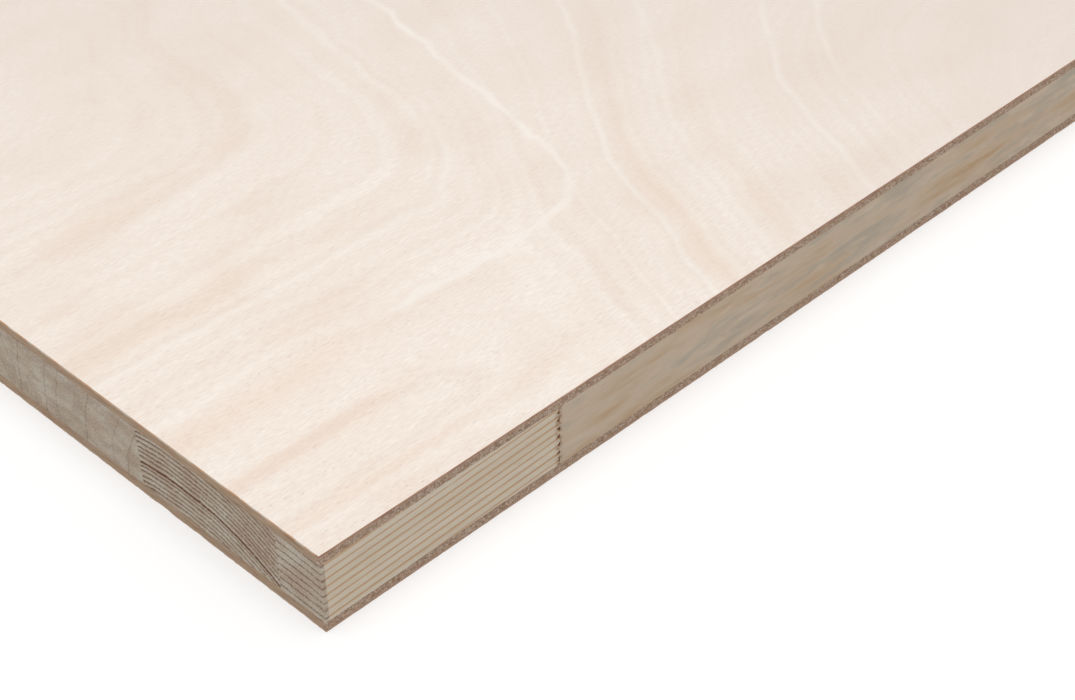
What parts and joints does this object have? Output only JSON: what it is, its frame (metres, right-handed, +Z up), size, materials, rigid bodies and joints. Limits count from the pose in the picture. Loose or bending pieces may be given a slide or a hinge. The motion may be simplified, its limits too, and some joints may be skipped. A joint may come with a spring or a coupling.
{
  "type": "veneered panel",
  "caption": "Flat blockboard panel: a core of softwood sticks between two crossbands, faced both sides with pale beech veneer, with bare sawn edges.",
  "frame": {"origin": "centre of the underside", "axes": "+X along the core sticks and the face grain, the long way of the panel; +Y across the sticks; +Z up, through the thickness"},
  "size_m": [1.22, 0.61, 0.019],
  "materials": {
    "face_veneer": "fine sanded, unfinished beech veneer",
    "crossband": "sawn edge of a brown veneer, unfinished",
    "core_stick": "sawn softwood, unfinished"
  },
  "bodies": {
    "root": {"core_stick_01_a": "core_stick", "core_stick_01_b": "core_stick", "core_stick_01_c": "core_stick", "core_stick_02_a": "core_stick", "core_stick_02_b": "core_stick", "core_stick_02_c": "core_stick", "core_stick_03_a": "core_stick", "core_stick_03_b": "core_stick", "core_stick_03_c": "core_stick", "core_stick_04_a": "core_stick", "core_stick_04_b": "core_stick", "core_stick_04_c": "core_stick", "core_stick_05_a": "core_stick", "core_stick_05_b": "core_stick", "core_stick_05_c": "core_stick", "core_stick_06_a": "core_stick", "core_stick_06_b": "core_stick", "core_stick_06_c": "core_stick", "core_stick_07_a": "core_stick", "core_stick_07_b": "core_stick", "core_stick_07_c": "core_stick", "core_stick_08_a": "core_stick", "core_stick_08_b": "core_stick", "core_stick_08_c": "core_stick", "core_stick_09_a": "core_stick", "core_stick_09_b": "core_stick", "core_stick_09_c": "core_stick", "core_stick_10_a": "core_stick", "core_stick_10_b": "core_stick", "core_stick_10_c": "core_stick", "core_stick_11_a": "core_stick", "core_stick_11_b": "core_stick", "core_stick_11_c": "core_stick", "core_stick_12_a": "core_stick", "core_stick_12_b": "core_stick", "core_stick_12_c": "core_stick", "core_stick_13_a": "core_stick", "core_stick_13_b": "core_stick", "core_stick_13_c": "core_stick", "core_stick_14_a": "core_stick", "core_stick_14_b": "core_stick", "core_stick_14_c": "core_stick", "core_stick_15_a": "core_stick", "core_stick_15_b": "core_stick", "core_stick_15_c": "core_stick", "core_stick_16_a": "core_stick", "core_stick_16_b": "core_stick", "core_stick_16_c": "core_stick", "crossband_bottom": "crossband", "crossband_top": "crossband", "face_veneer_bottom": "face_veneer", "face_veneer_top": "face_veneer"}
  },
  "joints": []
}
